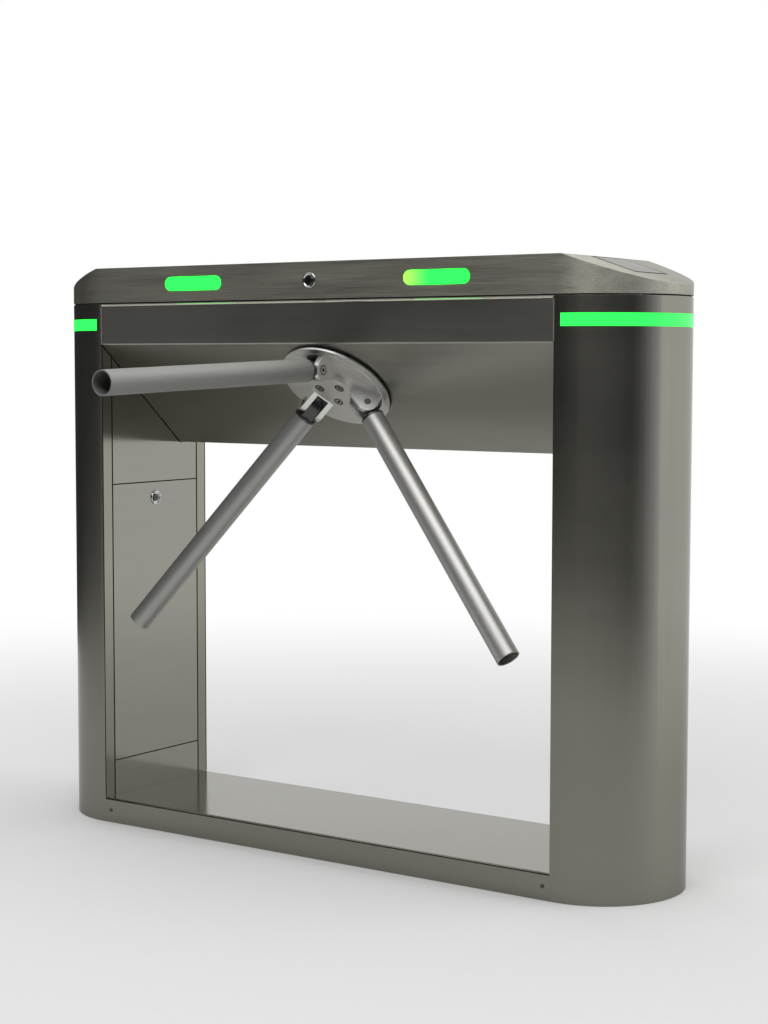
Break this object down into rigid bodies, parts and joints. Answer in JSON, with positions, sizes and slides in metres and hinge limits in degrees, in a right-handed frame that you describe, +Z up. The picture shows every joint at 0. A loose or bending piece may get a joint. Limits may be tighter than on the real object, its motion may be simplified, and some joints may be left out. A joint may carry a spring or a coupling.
{
  "type": "tripod turnstile",
  "caption": "Tripod barrier cabinet with round ended columns, an inclined hub with drop arms, a hinged lid, tilting column doors and a geared drive.",
  "frame": {"origin": "on the floor under the middle of the cabinet, in the underside of the base duct", "axes": "+X along the cabinet, +Z up, -Y towards the passage side that the arms reach into"},
  "size_m": [1.2008, 0.7778, 0.98],
  "materials": {
    "cabinet_steel": "brushed stainless sheet",
    "panel_steel": null,
    "base_steel": "brushed stainless sheet, glossier",
    "satin_metal": "satin finished stainless",
    "zinc_steel": "zinc plated steel",
    "lock_metal": "plated zinc",
    "black_rubber": "black rubber",
    "black_plastic": "black moulded plastic",
    "reader_plastic": "grey smoked plastic",
    "green_light": "translucent lens, lit green",
    "circuit_board": "circuit board",
    "device_metal": "black painted device case"
  },
  "bodies": {
    "cabinet": {"left_column_shell": "cabinet_steel", "right_column_shell": "cabinet_steel", "left_upper_panel": "cabinet_steel", "right_upper_panel": "cabinet_steel", "left_lower_panel": "cabinet_steel", "right_lower_panel": "cabinet_steel", "left_floor_plate": "zinc_steel", "right_floor_plate": "zinc_steel", "cable_gland": "black_plastic", "terminal_block": "black_plastic", "base_cover": "base_steel", "base_duct": "zinc_steel", "base_rivets": "satin_metal", "beam_front": "panel_steel", "beam_back": "panel_steel", "top_frame": "zinc_steel", "left_strip_lens": "green_light", "right_strip_lens": "green_light", "strip_boards": "circuit_board", "lid_hinge_fixed": "satin_metal", "front_plate": "zinc_steel", "rear_plate": "zinc_steel", "mech_pillars": "zinc_steel", "shaft_bearings": "satin_metal", "drive_motor": "device_metal", "lock_solenoids": "device_metal", "position_sensor": "black_plastic", "control_board": "circuit_board", "power_supply": "satin_metal"},
    "rotor": {"hub_disc": "satin_metal", "hub_seal": "black_rubber", "hub_screws": "lock_metal", "main_shaft": "satin_metal", "drive_gear": "satin_metal", "index_wheel": "zinc_steel", "encoder_wheel": "black_plastic", "arm_pins": "lock_metal"},
    "arm_1": {"arm_root_1": "satin_metal", "arm_tube_1": "satin_metal"},
    "arm_2": {"arm_root_2": "satin_metal", "arm_tube_2": "satin_metal"},
    "arm_3": {"arm_root_3": "satin_metal", "arm_tube_3": "satin_metal"},
    "drive_pinion": {"motor_pinion": "satin_metal"},
    "side_pawl": {"side_pawl": "satin_metal"},
    "lower_pawl": {"lower_pawl": "satin_metal"},
    "lid": {"top_lid": "cabinet_steel", "lid_lenses": "green_light", "lid_boards": "circuit_board", "reader_windows": "reader_plastic", "reader_modules": "circuit_board", "lid_hinge_moving": "satin_metal", "lid_lock_barrel": "lock_metal"},
    "lid_lock": {"lid_lock_plug": "lock_metal"},
    "left_door": {"left_door": "cabinet_steel", "door_lock_barrels_left": "lock_metal"},
    "right_door": {"right_door": "cabinet_steel", "door_lock_barrels_right": "lock_metal"},
    "left_door_lock": {"left_lock_plug": "lock_metal"},
    "right_door_lock": {"right_lock_plug": "lock_metal"}
  },
  "joints": [
    {"name": "rotor_turn", "type": "hinge", "parent": "cabinet", "child": "rotor", "pos_m": [0, -0.0632, 0.78241], "axis": [0, -0.6494, -0.7604], "continuous": true},
    {"name": "pinion_turn", "type": "hinge", "parent": "cabinet", "child": "drive_pinion", "pos_m": [0.08476, -0.01311, 0.79355], "axis": [0, -0.6494, -0.7604], "continuous": true},
    {"name": "arm_1_drop", "type": "hinge", "parent": "rotor", "child": "arm_1", "pos_m": [0, -0.1281, 0.80496], "axis": [1, 0, 0], "range_deg": [0, 88.1]},
    {"name": "arm_2_drop", "type": "hinge", "parent": "rotor", "child": "arm_2", "pos_m": [0.05543, -0.0551, 0.74261], "axis": [-0.5, 0.6585, -0.5624], "range_deg": [0, 46]},
    {"name": "arm_3_drop", "type": "hinge", "parent": "rotor", "child": "arm_3", "pos_m": [-0.05543, -0.0551, 0.74261], "axis": [-0.5, -0.6585, 0.5624], "range_deg": [0, 46]},
    {"name": "side_pawl_lock", "type": "slide", "parent": "cabinet", "child": "side_pawl", "axis": [1, 0, 0], "range_m": [0, 0.007], "stiffness_N_per_m": 250},
    {"name": "lower_pawl_lock", "type": "slide", "parent": "cabinet", "child": "lower_pawl", "axis": [0, -0.7604, 0.6494], "range_m": [0, 0.007], "stiffness_N_per_m": 250},
    {"name": "lid_open", "type": "hinge", "parent": "cabinet", "child": "lid", "pos_m": [0, 0.1438, 0.9192], "axis": [-1, 0, 0], "range_deg": [0, 75]},
    {"name": "lid_lock_turn", "type": "hinge", "parent": "lid", "child": "lid_lock", "pos_m": [0, -0.14, 0.9499], "axis": [0, 1, 0], "range_deg": [0, 90]},
    {"name": "left_door_tilt", "type": "hinge", "parent": "cabinet", "child": "left_door", "pos_m": [-0.463, 0, 0.1145], "axis": [0, 1, 0], "range_deg": [0, 10]},
    {"name": "right_door_tilt", "type": "hinge", "parent": "cabinet", "child": "right_door", "pos_m": [0.463, 0, 0.1145], "axis": [0, -1, 0], "range_deg": [0, 10]},
    {"name": "left_door_lock_turn", "type": "hinge", "parent": "left_door", "child": "left_door_lock", "pos_m": [-0.455, 0, 0.5715], "axis": [1, 0, 0], "range_deg": [0, 90]},
    {"name": "right_door_lock_turn", "type": "hinge", "parent": "right_door", "child": "right_door_lock", "pos_m": [0.455, 0, 0.5715], "axis": [1, 0, 0], "range_deg": [0, 90]}
  ],
  "couplings": [
    {"joint": "pinion_turn", "follows": "rotor_turn", "ratio": -3.5}
  ]
}
